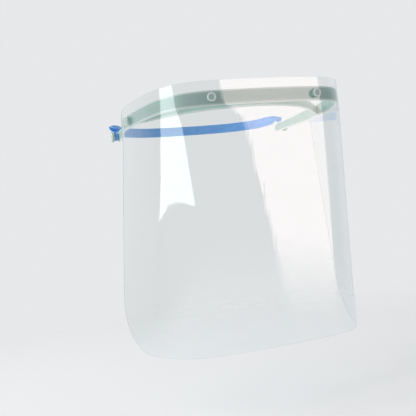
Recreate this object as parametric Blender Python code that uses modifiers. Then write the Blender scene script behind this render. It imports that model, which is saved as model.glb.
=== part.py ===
"""Face shield: a clear wrap-round visor hooked on a moulded head frame with an elastic strap.

Metres, +Z up. The shield is modelled as it is worn: the origin is the middle of the head
opening, level with the middle of the bands. The wearer looks along -Y, so the visor is at -Y,
the wearer's right is -X and the strap is at +Y.
"""

import math

import bmesh
import bpy
import numpy as np
from mathutils import Vector

GAP = 0.0003                    # clearance between pieces that touch on the real object

# Plan line of the frame: the outer face of the visor band, by arc length from the front middle.
FRONT_Y = -0.117                # front middle of the visor band
SIDE_BEND = 2.27                # curvature of the nearly straight stretches, 1/m
CORNER_BEND = 26.5              # extra curvature in the middle of each front corner, 1/m
CORNER_ARC = 0.0752             # arc length at which a corner is sharpest
CORNER_SPREAD = 0.0236          # arc length over which a corner fades out
PLAN_STEP = 0.0005

# Head frame
BAND_HEIGHT = 0.0122
BAND_THICK = 0.0018
EDGE_ROUNDING = 0.0004
BAND_END = 0.1436               # arc length at which the visor band turns into the arms
FOREHEAD_BEHIND = 0.024         # forehead band's front face behind the visor band's outer face
FOREHEAD_RADIUS = 0.094
FOREHEAD_TURN = math.radians(50)
FOREHEAD_HEIGHT = 0.0088
FOREHEAD_THICK = 0.0016
FLANK_END_X = 0.0882            # where the forehead band's straight flanks meet the visor band
ARM_END = 0.2350
ARM_BEND_FROM = 0.166           # the arms step in towards the head between these arc lengths
ARM_BEND_TO = 0.212
ARM_INSET = 0.0075
ARM_DROP = 0.0020
ARM_END_HEIGHT = 0.0098
ARM_END_RADIUS = 0.0043
BAND_SECTIONS, FOREHEAD_SECTIONS, ARM_SECTIONS = 73, 49, 26

# Visor
VISOR_HALF_WIDTH = 0.1723
VISOR_TOP = 0.0138
VISOR_HEIGHT = 0.220
VISOR_THICK = 0.0005
TOP_CORNER = 0.012
BOTTOM_CORNER = 0.052
BOTTOM_OPENS = 0.142            # share of its curvature that the sheet loses at the bottom edge
BOTTOM_BACK = 0.0207            # how far the bottom edge leans in towards the face
VISOR_ROWS = 7
UPRIGHT_TO = BAND_HEIGHT / 2 + GAP   # the sheet is upright down to this depth

# Studs that hold the visor, on the front and on the sides
STUD_ARCS = {"front_stud": 0.0465, "side_stud": 0.1490}
STUD_RADIUS = 0.0036
STUD_DISH = 0.0026
STUD_LENGTH = 0.0040
STUD_DISH_DEPTH = 0.0008
STUD_LIP = 0.0002
TURNED_STEPS = 24               # sides of a turned piece
VISOR_HOLE_RADIUS = 0.0040

# Strap knobs, at the ends of the arms
KNOB_Y = 0.0430
KNOB_Z = -0.0020
KNOB_STEM_RADIUS = 0.0022
KNOB_STEM_LENGTH = 0.0042
KNOB_RADIUS = 0.0052
KNOB_THICK = 0.0032
KNOB_RIM = 0.0006
KNOB_STEPS = 28

# Elastic strap
LOOP_BORE = 0.0025
LOOP_RADIUS = 0.0039
LOOP_WIDTH = 0.0030
LOOP_SOFTENING = 0.0004
STRAP_WIDTH = 0.0100
STRAP_THICK = 0.0012
STRAP_LEAVES = math.radians(52)        # rise of the strap where it leaves the loops
STRAP_TURNS_AT = 0.0122         # distance from a stem at which the strap turns over to level
STRAP_SECTIONS = 56
FAN_FROM, FAN_TO = 0.18, 1.0    # the strap widens between these route points
TWIST_FROM, TWIST_TO = 0.0, 3.8  # and turns upright between these
GATHERED_THICK = 2 * STRAP_THICK
# left half of the strap's middle line, from where it has turned level to the back of the head
STRAP_PATH = (
    (0.0901, 0.0552, 0.0079),
    (0.0836, 0.0645, 0.0076),
    (0.0755, 0.0790, 0.0076),
    (0.0525, 0.0925, 0.0078),
    (0.0265, 0.0995, 0.0082),
    (0.0000, 0.1015, 0.0084),
)

FRAME_COLOUR = (0.62, 0.76, 0.71, 1.0)
STUD_COLOUR = (0.66, 0.80, 0.75, 1.0)
VISOR_COLOUR = (0.92, 0.95, 0.97, 0.25)
STRAP_COLOUR = (0.05, 0.17, 0.72, 1.0)


def clear_scene():
    for old in list(bpy.data.objects):
        bpy.data.objects.remove(old, do_unlink=True)


def new_collection(name):
    made = bpy.data.collections.new(name)
    bpy.context.scene.collection.children.link(made)
    return made


def new_material(name, colour, roughness):
    made = bpy.data.materials.new(name)
    made.use_nodes = True
    shader = made.node_tree.nodes["Principled BSDF"]
    shader.inputs["Base Color"].default_value = colour
    shader.inputs["Alpha"].default_value = colour[3]
    shader.inputs["Roughness"].default_value = roughness
    shader.inputs["Metallic"].default_value = 0.0
    return made


def new_object(name, bm, collection, material=None):
    mesh = bpy.data.meshes.new(name)
    bm.to_mesh(mesh)
    bm.free()
    made = bpy.data.objects.new(name, mesh)
    collection.objects.link(made)
    if material:
        mesh.materials.append(material)
        mesh.shade_smooth()
    return made


# ---- the plan line -------------------------------------------------------------------------

def plan_line(bend_kept=1.0):
    """Arc lengths, x, y and heading of the plan line's left half, with this share of its bend."""
    arcs = np.arange(0.0, ARM_END + PLAN_STEP, PLAN_STEP)
    corner = np.exp(-(((arcs - CORNER_ARC) / CORNER_SPREAD) ** 2))
    bend = (SIDE_BEND + CORNER_BEND * corner) * bend_kept
    heading = running_sum(bend)
    return arcs, running_sum(np.cos(heading)), FRONT_Y + running_sum(np.sin(heading)), heading


def running_sum(rate):
    """Trapezium-rule integral of a rate along the plan line."""
    return np.concatenate([[0.0], np.cumsum((rate[1:] + rate[:-1]) / 2) * PLAN_STEP])


def plan_point(line, arc, out=0.0):
    """Point at a signed arc length, moved out along the normal, and that outward normal."""
    arcs, xs, ys, headings = line
    side = math.copysign(1.0, arc)
    x, y, heading = (float(np.interp(abs(arc), arcs, row)) for row in (xs, ys, headings))
    normal = Vector((side * math.sin(heading), -math.cos(heading), 0.0))
    return Vector((side * x, y, 0.0)) + normal * out, normal


def smooth_step(value, start, stop):
    share = min(max((value - start) / (stop - start), 0.0), 1.0)
    return share * share * (3 - 2 * share)


def corner_trim(arc, end, radius):
    """How much a rounded corner takes off the height of an outline at this arc length."""
    into = abs(arc) - (end - radius)
    return radius - math.sqrt(max(radius**2 - into**2, 0.0)) if into > 0 else 0.0


def corner_arcs(end, radius, steps):
    return [end - radius + radius * math.sin(math.pi / 2 * i / steps) for i in range(steps + 1)]


# ---- head frame ----------------------------------------------------------------------------

def wall(name, path, lows, highs, thick, collection, material):
    """A strip standing on a plan path, thickened inwards from the path."""
    bm = bmesh.new()
    bottom = [bm.verts.new((point.x, point.y, low)) for point, low in zip(path, lows)]
    edges = [bm.edges.new(pair) for pair in zip(bottom, bottom[1:])]
    raised = bmesh.ops.extrude_edge_only(bm, edges=edges)["geom"]
    top = [made for made in raised if isinstance(made, bmesh.types.BMVert)]
    for point, high in zip(path, highs):
        nearest = min(top, key=lambda vert: (vert.co.xy - point.xy).length)
        nearest.co.z = high
    made = new_object(name, bm, collection, material)
    shell = made.modifiers.new("thickness", "SOLIDIFY")
    shell.thickness = thick
    shell.offset = 1.0
    shell.use_even_offset = True
    rounding = made.modifiers.new("rounded edges", "BEVEL")
    rounding.width = EDGE_ROUNDING
    rounding.segments = 1
    rounding.limit_method = "ANGLE"
    rounding.angle_limit = math.radians(50)


def visor_band(collection, material):
    line = plan_line()
    arcs = np.linspace(-BAND_END, BAND_END, BAND_SECTIONS)
    path = [plan_point(line, arc)[0] for arc in arcs]
    half = BAND_HEIGHT / 2
    wall("visor_band", path, [-half] * len(path), [half] * len(path), BAND_THICK, collection,
         material)


def forehead_point(arc):
    """Front face of the forehead band: an arc over the brow that runs into straight flanks."""
    turned = min(abs(arc) / FOREHEAD_RADIUS, FOREHEAD_TURN)
    flank = max(abs(arc) - FOREHEAD_RADIUS * FOREHEAD_TURN, 0.0)
    x = FOREHEAD_RADIUS * math.sin(turned) + flank * math.cos(turned)
    y = FOREHEAD_RADIUS * (1 - math.cos(turned)) + flank * math.sin(turned)
    return Vector((math.copysign(x, arc), FRONT_Y + FOREHEAD_BEHIND + y, 0.0))


def forehead_band(collection, material):
    turn_x = FOREHEAD_RADIUS * math.sin(FOREHEAD_TURN)
    end = FOREHEAD_RADIUS * FOREHEAD_TURN + (FLANK_END_X - turn_x) / math.cos(FOREHEAD_TURN)
    path = [forehead_point(arc) for arc in np.linspace(-end, end, FOREHEAD_SECTIONS)]
    half = FOREHEAD_HEIGHT / 2
    wall("forehead_band", path, [-half] * len(path), [half] * len(path), FOREHEAD_THICK,
         collection, material)


def arm_point(line, arc):
    """Outer face of an arm: the plan line, stepped in towards the head behind the visor."""
    inset = ARM_INSET * smooth_step(abs(arc), ARM_BEND_FROM, ARM_BEND_TO)
    return plan_point(line, arc, -inset)[0]


def arm(side, name, collection, material):
    line = plan_line()
    start = BAND_END + GAP
    arcs = list(np.linspace(start, ARM_END - ARM_END_RADIUS, ARM_SECTIONS))
    arcs += corner_arcs(ARM_END, ARM_END_RADIUS, 5)[1:]
    lows, highs = [], []
    for arc in arcs:
        back = smooth_step(arc, ARM_BEND_FROM, ARM_BEND_TO)
        half = BAND_HEIGHT / 2 + (ARM_END_HEIGHT - BAND_HEIGHT) / 2 * back
        half -= corner_trim(arc, ARM_END, ARM_END_RADIUS)
        lows.append(-ARM_DROP * back - half)
        highs.append(-ARM_DROP * back + half)
    path = [arm_point(line, side * arc) for arc in arcs]
    if side < 0:
        path, lows, highs = path[::-1], lows[::-1], highs[::-1]
    wall(name, path, lows, highs, BAND_THICK, collection, material)


def turned(name, profile, steps, base, direction, collection, material):
    """A turned piece: the profile (radius, height) spun about a line from base."""
    bm = bmesh.new()
    verts = [bm.verts.new((radius, 0.0, height)) for radius, height in profile]
    for pair in zip(verts, verts[1:]):
        bm.edges.new(pair)
    made = new_object(name, bm, collection, material)
    screw = made.modifiers.new("turned", "SCREW")
    screw.steps = steps
    screw.render_steps = steps
    screw.use_merge_vertices = True
    screw.merge_threshold = 0.0001
    made.location = base
    made.rotation_mode = "QUATERNION"
    made.rotation_quaternion = Vector(direction).to_track_quat("Z", "Y")
    return made


def stud(name, arc, collection, material):
    """A short stud that passes through the visor and shows a ring with a shallow dish in it."""
    base, normal = plan_point(plan_line(), arc, GAP)
    floor = STUD_LENGTH - STUD_DISH_DEPTH
    lip = STUD_LIP
    profile = [
        (0.0, floor),
        (STUD_DISH, floor),
        (STUD_DISH + lip, STUD_LENGTH),
        (STUD_RADIUS - 2 * lip, STUD_LENGTH),
        (STUD_RADIUS, STUD_LENGTH - 2 * lip),
        (STUD_RADIUS, STUD_LENGTH - 5 * lip),
        (STUD_RADIUS - lip, STUD_LENGTH - 7 * lip),
        (STUD_RADIUS - lip, 0.0),
        (0.0, 0.0),
    ]
    turned(name, profile, TURNED_STEPS, base, normal, collection, material)


def knob_x():
    """Distance of an arm's outer face from the middle plane, level with its knob."""
    line = plan_line()
    arcs = np.linspace(ARM_BEND_TO, ARM_END, 50)
    points = [arm_point(line, arc) for arc in arcs]
    return float(np.interp(KNOB_Y, [p.y for p in points], [p.x for p in points]))


def strap_knob(side, name, collection, material):
    """A stem that the strap loops round, with a round flat head that keeps it on."""
    top = KNOB_STEM_LENGTH + KNOB_THICK
    rim = KNOB_RIM
    profile = [
        (0.0, top),
        (KNOB_RADIUS - 2 * rim, top),
        (KNOB_RADIUS - rim / 2, top - rim / 2),
        (KNOB_RADIUS, top - 2 * rim),
        (KNOB_RADIUS, KNOB_STEM_LENGTH + rim),
        (KNOB_RADIUS - rim, KNOB_STEM_LENGTH),
        (KNOB_STEM_RADIUS, KNOB_STEM_LENGTH),
        (KNOB_STEM_RADIUS, 0.0),
        (0.0, 0.0),
    ]
    base = (side * (knob_x() + GAP), KNOB_Y, KNOB_Z)
    turned(name, profile, KNOB_STEPS, base, (side, 0.0, 0.0), collection, material)


# ---- visor ---------------------------------------------------------------------------------

def visor_surface(height):
    """Plan line of the sheet at a height, and how far back it sits: upright along the band."""
    depth = max(-height - UPRIGHT_TO, 0.0) / (VISOR_HEIGHT - VISOR_TOP - UPRIGHT_TO)
    return plan_line(1 - BOTTOM_OPENS * depth), BOTTOM_BACK * depth


def visor(collection, material, holes):
    """The sheet: a grid with rounded corners, bent onto the plan line and thickened."""
    corners = corner_arcs(VISOR_HALF_WIDTH, BOTTOM_CORNER, 9)
    corners += corner_arcs(VISOR_HALF_WIDTH, TOP_CORNER, 4)[:-1]
    flat = np.linspace(0.0, VISOR_HALF_WIDTH - BOTTOM_CORNER, 28)[:-1]
    half = sorted(set(np.round(list(flat) + corners, 7)))
    arcs = [-arc for arc in half[:0:-1]] + half
    bm = bmesh.new()
    bmesh.ops.create_grid(bm, x_segments=len(arcs) - 1, y_segments=VISOR_ROWS, size=1.0)
    for vert in bm.verts:
        arc = arcs[round((vert.co.x + 1) / 2 * (len(arcs) - 1))]
        row = round((vert.co.y + 1) / 2 * VISOR_ROWS)
        high = VISOR_TOP - corner_trim(arc, VISOR_HALF_WIDTH, TOP_CORNER)
        low = VISOR_TOP - VISOR_HEIGHT + corner_trim(arc, VISOR_HALF_WIDTH, BOTTOM_CORNER)
        height = high if row == VISOR_ROWS else low - (low + UPRIGHT_TO) * row / (VISOR_ROWS - 1)
        line, back = visor_surface(height)
        point, _ = plan_point(line, arc, GAP)
        vert.co = point + Vector((0.0, back, height))
    bmesh.ops.recalc_face_normals(bm, faces=bm.faces)
    front = min(bm.faces, key=lambda face: face.calc_center_median().y)
    if front.normal.y > 0:
        bmesh.ops.reverse_faces(bm, faces=bm.faces)
    made = new_object("visor", bm, collection, material)
    shell = made.modifiers.new("thickness", "SOLIDIFY")
    shell.thickness = VISOR_THICK
    shell.offset = 1.0
    for hole in holes:
        cut = made.modifiers.new("punched hole", "BOOLEAN")
        cut.operation = "DIFFERENCE"
        cut.object = hole


def hole_cutter(name, arc, collection):
    base, normal = plan_point(plan_line(), arc)
    bm = bmesh.new()
    bmesh.ops.create_cone(bm, cap_ends=True, segments=24, radius1=VISOR_HOLE_RADIUS,
                          radius2=VISOR_HOLE_RADIUS, depth=0.006)
    made = new_object(name, bm, collection)
    made.location = base
    made.rotation_mode = "QUATERNION"
    made.rotation_quaternion = normal.to_track_quat("Z", "Y")
    made.hide_render = True
    made.display_type = "WIRE"
    return made


# ---- elastic strap -------------------------------------------------------------------------

def loop_x():
    return knob_x() + GAP + KNOB_STEM_LENGTH / 2


def strap_loop(side, name, collection, material):
    """The strap's end, gathered and sewn round a knob's stem."""
    half = LOOP_WIDTH / 2
    soft = LOOP_SOFTENING
    profile = [
        (LOOP_BORE, half),
        (LOOP_RADIUS - soft, half),
        (LOOP_RADIUS, half - soft),
        (LOOP_RADIUS, soft - half),
        (LOOP_RADIUS - soft, -half),
        (LOOP_BORE, -half),
        (LOOP_BORE, half),
    ]
    base = (side * loop_x(), KNOB_Y, KNOB_Z)
    turned(name, profile, TURNED_STEPS, base, (side, 0.0, 0.0), collection, material)


def strap_route():
    """Left half of the strap's middle line, from the loop to the back of the head."""
    leave = Vector((0.0, math.cos(STRAP_LEAVES), math.sin(STRAP_LEAVES)))
    stem = Vector((loop_x(), KNOB_Y, KNOB_Z))
    points = [stem + leave * (LOOP_RADIUS + GAP), stem + leave * STRAP_TURNS_AT]
    return points + [Vector(point) for point in STRAP_PATH]


def spline_point(points, at):
    """Catmull-Rom curve through the points; at runs from 0 to len(points) - 1."""
    index = min(int(at), len(points) - 2)
    t = at - index
    before = points[index - 1] if index else points[0] * 2 - points[1]
    after = points[index + 2] if index + 2 < len(points) else points[-1] * 2 - points[-2]
    a, b = points[index], points[index + 1]
    slope_a, slope_b = (b - before) / 2, (after - a) / 2
    return (a * (2 * t**3 - 3 * t**2 + 1) + slope_a * (t**3 - 2 * t**2 + t)
            + b * (3 * t**2 - 2 * t**3) + slope_b * (t**3 - t**2))


def elastic_strap(collection, material):
    """A flat strap: gathered and edgeways at the loops, upright round the back of the head."""
    half = strap_route()
    route = [Vector((-p.x, p.y, p.z)) for p in half] + half[-2::-1]
    last = len(route) - 1
    bm = bmesh.new()
    rings = []
    for i in range(STRAP_SECTIONS + 1):
        at = last * i / STRAP_SECTIONS
        centre = spline_point(route, at)
        ahead = spline_point(route, min(at + 0.01, last)) - spline_point(route, max(at - 0.01, 0))
        ahead.normalize()
        from_end = min(at, last - at)
        fanned = min(max((from_end - FAN_FROM) / (FAN_TO - FAN_FROM), 0.0), 1.0)
        upright = smooth_step(from_end, TWIST_FROM, TWIST_TO)
        side = 1.0 if at > last / 2 else -1.0
        across = Vector((side, 0.0, 0.0)).lerp(Vector((0.0, 0.0, 1.0)), upright)
        across = (across - ahead * across.dot(ahead)).normalized()
        through = ahead.cross(across)
        width = LOOP_WIDTH + (STRAP_WIDTH - LOOP_WIDTH) * fanned
        thick = GATHERED_THICK + (STRAP_THICK - GATHERED_THICK) * fanned
        corners = ((-1, -1), (1, -1), (1, 1), (-1, 1))
        rings.append([bm.verts.new(centre + across * (width / 2 * u) + through * (thick / 2 * v))
                      for u, v in corners])
    for ring, following in zip(rings, rings[1:]):
        for k in range(4):
            bm.faces.new((ring[k], ring[(k + 1) % 4], following[(k + 1) % 4], following[k]))
    bm.faces.new(rings[0])
    bm.faces.new(rings[-1][::-1])
    bmesh.ops.recalc_face_normals(bm, faces=bm.faces)
    new_object("elastic_strap", bm, collection, material)


def main():
    clear_scene()
    shield = new_collection("face_shield")
    cutters = new_collection("cutters")
    frame = new_material("translucent mint frame", FRAME_COLOUR, 0.38)
    studs = new_material("translucent mint studs", STUD_COLOUR, 0.34)
    clear = new_material("clear sheet", VISOR_COLOUR, 0.05)
    elastic = new_material("blue elastic", STRAP_COLOUR, 0.75)
    visor_band(shield, frame)
    forehead_band(shield, frame)
    holes = []
    for side, word in ((-1, "right"), (1, "left")):
        arm(side, f"{word}_arm", shield, frame)
        strap_knob(side, f"{word}_strap_knob", shield, studs)
        strap_loop(side, f"{word}_strap_loop", shield, elastic)
        for kind, arc in STUD_ARCS.items():
            stud(f"{word}_{kind}", side * arc, shield, studs)
            holes.append(hole_cutter(f"{word}_{kind}_hole", side * arc, cutters))
    visor(shield, clear, holes)
    elastic_strap(shield, elastic)


main()
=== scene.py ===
"""Face shield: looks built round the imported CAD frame.

Metres, +Z up. The wearer looks along -Y, so the visor is at -Y and the strap at +Y; the
wearer's right is -X. The plan line runs along the outer band's front face from its middle,
and a place on it is an arc length, negative towards the wearer's right.
"""

import math

import bmesh
import bpy
import numpy as np
from mathutils import Matrix, Vector
from mathutils.geometry import delaunay_2d_cdt


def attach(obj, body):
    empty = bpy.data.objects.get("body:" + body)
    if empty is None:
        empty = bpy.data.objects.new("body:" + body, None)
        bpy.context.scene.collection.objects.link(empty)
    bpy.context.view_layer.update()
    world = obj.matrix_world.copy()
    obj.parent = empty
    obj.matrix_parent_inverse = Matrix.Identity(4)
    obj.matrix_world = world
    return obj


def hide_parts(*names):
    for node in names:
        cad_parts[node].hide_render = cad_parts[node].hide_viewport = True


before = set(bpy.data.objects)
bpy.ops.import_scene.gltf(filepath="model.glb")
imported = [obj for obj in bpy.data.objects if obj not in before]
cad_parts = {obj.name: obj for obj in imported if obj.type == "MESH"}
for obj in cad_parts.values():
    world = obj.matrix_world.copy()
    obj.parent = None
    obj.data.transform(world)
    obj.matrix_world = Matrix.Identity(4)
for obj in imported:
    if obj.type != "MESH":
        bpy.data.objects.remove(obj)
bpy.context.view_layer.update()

# ---- dimensions shared with part.py ----------------------------------------------------------
GAP = 0.0003                    # between the CAD's touching solids
# the plan line: how it bends, in 1/m, along the sides and round the two front corners
FRONT_Y = -0.117
SIDE_BEND = 2.27
CORNER_BEND = 26.5
CORNER_ARC = 0.0752
CORNER_SPREAD = 0.0236
PLAN_STEP = 0.0005
# outer band, forehead band and arms
BAND_HEIGHT = 0.0122
BAND_THICK = 0.0018
FOREHEAD_BEHIND = 0.024
FOREHEAD_RADIUS = 0.094
FOREHEAD_TURN = math.radians(50)
FOREHEAD_HEIGHT = 0.0088
FOREHEAD_THICK = 0.0016
ARM_END = 0.2350
ARM_BEND_FROM = 0.166
ARM_BEND_TO = 0.212
ARM_INSET = 0.0075
ARM_DROP = 0.0020
ARM_END_HEIGHT = 0.0098
ARM_END_RADIUS = 0.0043
# visor sheet
VISOR_HALF_WIDTH = 0.1723
VISOR_TOP = 0.0138
VISOR_HEIGHT = 0.220
TOP_CORNER = 0.012
BOTTOM_CORNER = 0.052
BOTTOM_OPENS = 0.142            # share of its bend that the plan line loses by the bottom edge
BOTTOM_BACK = 0.0207            # how far the bottom edge leans back
VISOR_HOLE_RADIUS = 0.0040
# studs and knobs
STUD_ARCS = {"front": 0.0465, "side": 0.1490}
STUD_RADIUS = 0.0036
STUD_DISH = 0.0026
STUD_LENGTH = 0.0040
KNOB_Y = 0.0430
KNOB_Z = -0.0020
KNOB_STEM_RADIUS = 0.0022
KNOB_STEM_LENGTH = 0.0042
KNOB_RADIUS = 0.0052
KNOB_THICK = 0.0032
# strap: it leaves the stem at an angle above +Y, and fans out and twists upright over
# stretches of its route that are counted in route points from either end
LOOP_BORE = 0.0025
LOOP_RADIUS = 0.0039
LOOP_WIDTH = 0.0030
STRAP_WIDTH = 0.0100
STRAP_LEAVES = math.radians(52)
STRAP_TURNS_AT = 0.0122
FAN_FROM, FAN_TO = 0.18, 1.0
TWIST_FROM, TWIST_TO = 0.0, 3.8
STRAP_PATH = (
    (0.0901, 0.0552, 0.0079),
    (0.0836, 0.0645, 0.0076),
    (0.0755, 0.0790, 0.0076),
    (0.0525, 0.0925, 0.0078),
    (0.0265, 0.0995, 0.0082),
    (0.0000, 0.1015, 0.0084),
)

# ---- dimensions of the looks only; each count of steps is for the mesh -----------------------
SIDES = ((-1, "right"), (1, "left"))
EDGE_ROUND = 0.00050            # rounding of the bands' long edges
EDGE_HIGHLIGHT_REACH = 0.0009              # thin edges get a painted highlight this far into a face
RIM_HIGHLIGHT_DEPTH = 0.0006         # and a stud's or knob's end gets a painted highlight on its rim this far down,
RIM_HIGHLIGHT_FROM = 0.0024          # outside this radius
ROOT = 0.0004                   # how far studs and knobs reach into the band

BAND_STEPS = 190                # sections of half the band, and more round the arm's end
ARM_END_STEPS = 9
TANGENT_STEP = 0.0002           # tangents come from points this far either side

# the forehead band meets the outer one between these arc lengths, and runs out onto it in
# two fillets: how far along the outer band each ends, and the reach of its first handle
WALL_FROM, WALL_TO, WALL_POINTS = 0.05, 0.16, 600
WALL_SINK = 0.0005              # the fillets end this deep in the outer band
FILLET_STARTS = 0.0105
FRONT_FILLET = (-0.0062, 0.0052)
BACK_FILLET = (0.0048, 0.0075)
FILLET_END_PULL = 0.62          # reach of the last handle, as a share of that distance
FOREHEAD_STEPS, STRAIGHT_STEPS, FILLET_STEPS = 48, 12, 14

FOOT_SWEEP = 262                # the fillets at the feet end at this angle
STUD_LIP = 0.0005               # round of the outer rim
STUD_FOOT = 0.0007              # fillet of the foot
STUD_NECK_IN = 0.0002           # the neck is this much thinner than the head,
STUD_HEAD, STUD_NECK = 0.0012, 0.0017   # which ends and tapers to it at these depths
STUD_DISH_MIDDLE, STUD_DISH_LOW = 0.00054, 0.00057  # depths in the middle and round it
STUD_DISH_FLAT = 0.0012
STUD_DISH_ROUND, STUD_DISH_LIP = 0.0004, 0.0002

KNOB_FOOT = 0.0008              # fillet of the foot
KNOB_RIM = 0.0011               # round of the button's front and back rims
KNOB_BACK_RIM = KNOB_RIM * 0.8
KNOB_UNDER = 0.0004             # fillet between stem and button
# radius and depth below the knob's end
KNOB_DISH = ((0.0, 0.00028), (0.0016, 0.00026), (0.0027, 0.00010), (0.0033, 0.0))

GATE_ARC, GATE_Z = 0.0005, -0.0032  # where the gate mark is on the band
GATE_RADIUS, GATE_EDGE, GATE_ROOT = 0.00085, 0.0001, 0.0003

SHEET_THICK = 0.0004
SHEET_STEP = 0.0028             # spacing of the sheet's mesh points along its width,
SHEET_ROW_STEP = SHEET_STEP * 1.4   # and along its height
SHEET_MARGIN = 0.0014           # mesh points keep this far from the rim,
HOLE_MARGIN = 0.0022            # and from a hole
HOLE_RING = 0.0012              # a ring of mesh points stands this far round each hole
HOLE_STEPS, HOLE_RING_STEPS = 40, 32
BOTTOM_CORNER_STEPS, TOP_CORNER_STEPS = 22, 10
NORMAL_STEP = 0.0006            # normals come from points this far either side
LEAN_FROM = 0.0105              # depth below the band's middle at which the sheet leans back
LEAN_SOFT = 0.0060              # the lean starts over about this height

CORD_PITCH = 0.00111            # width of one lengthwise cord of the elastic
PICK_PITCH = 0.00125            # length of one pick of the weave
CORD_RELIEF = 0.00010           # height of a cord on either face
WEAVE_SHIFT = 0.02              # keeps the weave's place across the strap above zero
STRAP_SECTIONS = 400
STRAP_STEPS = 54                # steps across the strap
WEBBING_THICK = 0.00085         # between the cords
SELVAGE_FROM = 0.93             # share of the half width where the edge starts to round off,
SELVAGE_THIN = 0.35             # down to this share of the thickness
GATHERS = 3                     # the narrow ends are folded in waves this deep
GATHER_DEPTH = 0.00062
# the sewn ends: steps round the stem and round the section, how square the section is (1 is
# round), what it leaves free of the loop's thickness, and its folds
END_AROUND, END_SECTION = 72, 28
END_SQUARE_WIDE, END_SQUARE_HIGH = 0.55, 0.75
END_PLAY, END_GATHER, END_GATHERS = 0.00005, 0.00010, 5
# the bar tacks' zigzag: its turns, place, width as a share of the strap's, and height off it
TACK_TURNS, TACK_STEPS = 13, 6
TACK_FROM, TACK_RUN = 13, 14    # counted in sections of the strap
TACK_WIDE = 0.86
TACK_LIFT, TACK_ARCH = 0.00058, 0.00012
THREAD_RADIUS = 0.00013

# ---- studio ----------------------------------------------------------------------------------
CAMERA_AT = (-0.22027, -0.57208, -0.09641)
CAMERA_TURN = (-19.375, -1.210, -6.594)     # azimuth, elevation and roll in degrees
CAMERA_LENS = 53.95
FLOOR_Z = -0.262
FLOOR_RADIUS = 2.6
FLOOR_SOLID, FLOOR_GONE = 0.16, 0.85        # radii between which the floor fades out
LIT_POINT = Vector((0.0, -0.06, -0.06))     # the lights and cards stand round this point
CARD_DISTANCE = 2.5
# corners of the cards that the sheet mirrors, as azimuth and elevation in degrees
WINDOW_CARD = ((-123, -0.8), (-104, -1.4), (-84, -3.4), (-60, -6.2), (-34, -8.9), (-47, -1.5),
               (-58, 5), (-77, 19), (-101, 19))
WALL_CARD = ((7, 17), (31, -25), (58, -25), (52.5, 17))


def rgba(red, green, blue):
    return (red, green, blue, 1.0)


# ---- node and mesh helpers -------------------------------------------------------------------

def new_material(name):
    made = bpy.data.materials.new(name)
    made.use_nodes = True
    return made, made.node_tree, made.node_tree.nodes["Principled BSDF"]


class Graph:
    """Short ways to add nodes to a tree; each gives the new node's output socket."""

    def __init__(self, tree):
        self.tree = tree

    def node(self, kind):
        return self.tree.nodes.new("ShaderNode" + kind)

    def put(self, socket, value):
        if hasattr(value, "is_output"):
            self.tree.links.new(value, socket)
        else:
            socket.default_value = value

    def math(self, operation, a, b=0.0, clamp=False):
        node = self.node("Math")
        node.operation = operation
        node.use_clamp = clamp
        self.put(node.inputs[0], a)
        self.put(node.inputs[1], b)
        return node.outputs[0]

    def noise(self, where, scale, detail=3.0, roughness=0.5, stretch=None):
        if stretch:
            mapping = self.node("Mapping")
            self.put(mapping.inputs["Vector"], where)
            mapping.inputs["Scale"].default_value = stretch
            where = mapping.outputs[0]
        node = self.node("TexNoise")
        self.put(node.inputs["Vector"], where)
        node.inputs["Scale"].default_value = scale
        node.inputs["Detail"].default_value = detail
        node.inputs["Roughness"].default_value = roughness
        return node.outputs[0]

    def span(self, value, low, high, to_low=0.0, to_high=1.0):
        node = self.node("MapRange")
        self.put(node.inputs["Value"], value)
        for key, number in (("From Min", low), ("From Max", high), ("To Min", to_low),
                            ("To Max", to_high)):
            node.inputs[key].default_value = number
        return node.outputs[0]

    def mix(self, share, a, b):
        node = self.node("Mix")
        node.data_type = "RGBA"
        self.put(node.inputs["Factor"], share)
        self.put(node.inputs["A"], a)
        self.put(node.inputs["B"], b)
        return node.outputs["Result"]

    def mix_shaders(self, share, a, b):
        node = self.node("MixShader")
        for socket, value in zip(node.inputs, (share, a, b)):
            self.put(socket, value)
        return node.outputs[0]

    def bump(self, height, distance, strength=1.0, onto=None):
        node = self.node("Bump")
        node.inputs["Strength"].default_value = strength
        node.inputs["Distance"].default_value = distance
        self.put(node.inputs["Height"], height)
        if onto is not None:
            self.put(node.inputs["Normal"], onto)
        return node.outputs[0]

    def place(self, output="Object"):
        return self.node("TexCoord").outputs[output]

    def split(self, vector):
        node = self.node("SeparateXYZ")
        self.put(node.inputs[0], vector)
        return node.outputs

    def attribute(self, name):
        node = self.node("Attribute")
        node.attribute_name = name
        return node.outputs["Fac"]


def object_from(bm, name):
    mesh = bpy.data.meshes.new(name)
    bm.to_mesh(mesh)
    bm.free()
    made = bpy.data.objects.new(name, mesh)
    bpy.context.scene.collection.objects.link(made)
    return made


def finish_piece(piece, material, body, nodes):
    piece.data.materials.append(material)
    piece.data.shade_smooth()
    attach(piece, body)
    if nodes:
        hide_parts(*nodes)


def loft(name, rings, uvs=None, edges=None, closed=False):
    """A skin over rings of points. Its ends are capped unless it is closed on itself.

    uvs(row, column) gives a place on the skin, and edges a share of painted edge highlight per
    ring point.
    """
    bm = bmesh.new()
    uv = bm.loops.layers.uv.new("metres") if uvs else None
    # the "edge" layer holds each point's share of the painted edge highlight
    edge = bm.verts.layers.float.new("edge")
    count = len(rings[0])
    made = [[bm.verts.new(point) for point in ring] for ring in rings]
    for ring in made:
        for k, vert in enumerate(ring):
            vert[edge] = edges[k] if edges else 0.0
    rows = list(range(len(rings) - 1)) + ([-1] if closed else [])
    for i in rows:
        for k in range(count):
            nxt = (k + 1) % count
            face = bm.faces.new((made[i][k], made[i][nxt], made[i + 1][nxt], made[i + 1][k]))
            if uv:
                spots = ((i, k), (i, k + 1), (i + 1, k + 1), (i + 1, k))
                for loop, (row, column) in zip(face.loops, spots):
                    loop[uv].uv = uvs(row, column)
    if not closed:
        bm.faces.new(made[0][::-1])
        bm.faces.new(made[-1])
    bmesh.ops.recalc_face_normals(bm, faces=bm.faces)
    return object_from(bm, name)


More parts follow.
